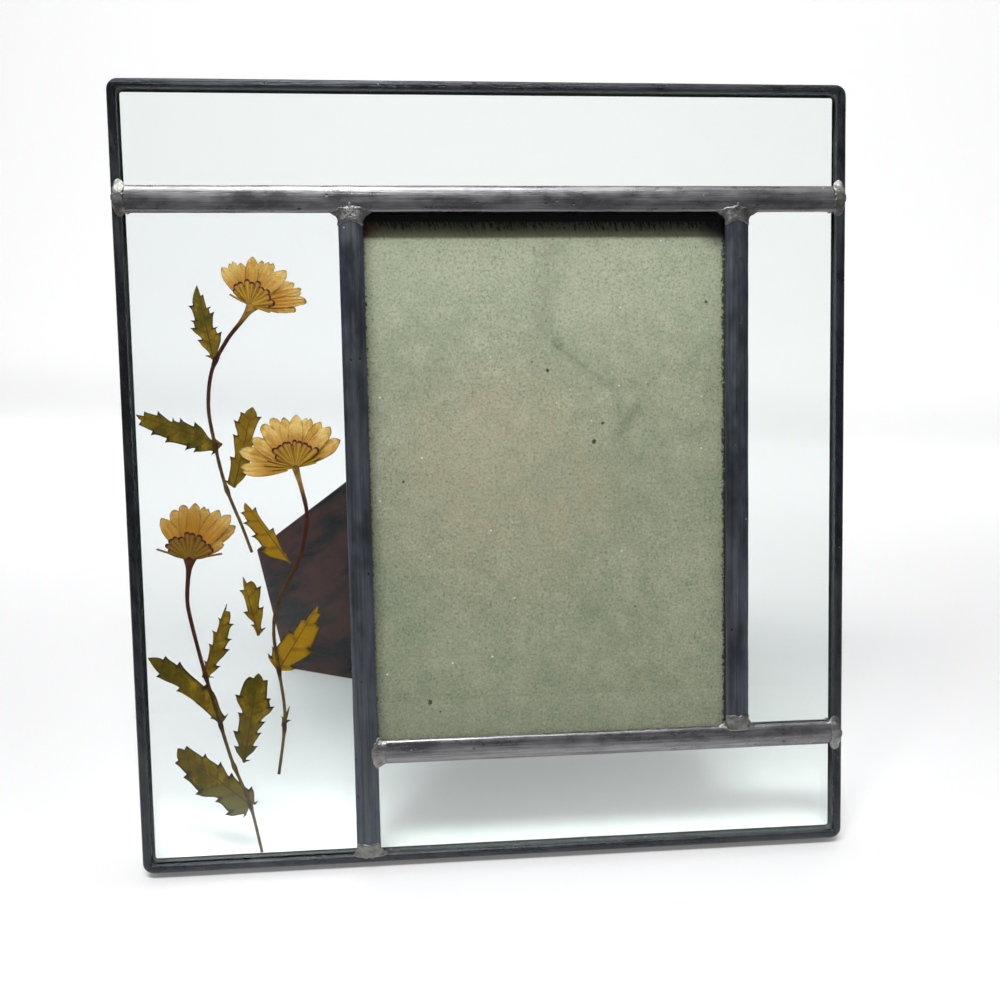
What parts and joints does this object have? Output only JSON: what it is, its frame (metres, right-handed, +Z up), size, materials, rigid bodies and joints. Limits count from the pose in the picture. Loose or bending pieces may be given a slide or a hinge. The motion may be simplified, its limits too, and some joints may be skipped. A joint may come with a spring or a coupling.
{
  "type": "pressed flower photo frame",
  "caption": "Leaded-glass photo frame with pressed flowers sealed in its side pane, leaning on a folding easel leg.",
  "frame": {"origin": "centre of the overall box, on the table that the frame stands on", "axes": "+Z up, +X to the frame's right seen from the front, +Y from the front face to the easel leg behind"},
  "size_m": [0.1714, 0.1026, 0.1797],
  "materials": {
    "border_patina": "blackish green patina, half gloss",
    "came_patina": "grey-blue patina, brushed, scratched",
    "solder": "soft silver solder",
    "plain_glass": "clear, faint blue-green",
    "flower_glass": "clear",
    "photo_glass": "clear, dusty",
    "chipboard": "matte grey-green pressed board",
    "dark_plate": "dark brown gloss lacquer",
    "steel": "dull steel",
    "petals": "dry, papery",
    "bracts": "dry, papery",
    "stems": "dry, fibrous",
    "leaves": "dry, papery"
  },
  "bodies": {
    "frame": {"back_plate": "dark_plate", "border_came": "border_patina", "bottom_pane": "plain_glass", "bract_2_low": "bracts", "bract_cup_1": "bracts", "bract_cup_2": "bracts", "bract_cup_3": "bracts", "flower_pane_back": "flower_glass", "flower_pane_front": "flower_glass", "hinge_leaf": "dark_plate", "hinge_pin": "steel", "hinge_rivet_left": "steel", "hinge_rivet_right": "steel", "insert_board": "chipboard", "leaf_1_left": "leaves", "leaf_1_right": "leaves", "leaf_1_upper": "leaves", "leaf_2_right": "leaves", "leaf_3_left": "leaves", "leaf_3_low": "leaves", "leaf_3_right": "leaves", "leaf_3_upright": "leaves", "left_upright_came": "came_patina", "loose_leaf_lower": "leaves", "loose_leaf_upper": "leaves", "lower_cross_came": "came_patina", "petals_1": "petals", "petals_2": "petals", "petals_3": "petals", "photo_pane": "photo_glass", "plate_tack_left_high": "solder", "plate_tack_left_low": "solder", "plate_tack_right_high": "solder", "plate_tack_right_low": "solder", "right_pane": "plain_glass", "right_upright_came": "came_patina", "solder_back_bottom_left_upright": "solder", "solder_back_lower_left": "solder", "solder_back_lower_right": "solder", "solder_back_lower_right_upright": "solder", "solder_back_top_left": "solder", "solder_back_top_right": "solder", "solder_back_upper_left_upright": "solder", "solder_back_upper_right_upright": "solder", "solder_front_bottom_left_upright": "solder", "solder_front_lower_left": "solder", "solder_front_lower_right": "solder", "solder_front_lower_right_upright": "solder", "solder_front_top_left": "solder", "solder_front_top_right": "solder", "solder_front_upper_left_upright": "solder", "solder_front_upper_right_upright": "solder", "stem_1": "stems", "stem_2": "stems", "stem_3": "stems", "top_cross_came": "came_patina", "top_pane": "plain_glass"},
    "easel_leg": {"easel_leg": "dark_plate"}
  },
  "joints": [
    {"name": "leg_hinge", "type": "hinge", "parent": "frame", "child": "easel_leg", "pos_m": [0.0061, -0.01036, 0.11122], "axis": [-0.7997, 0.1554, 0.58], "range_deg": [0, 37]}
  ]
}
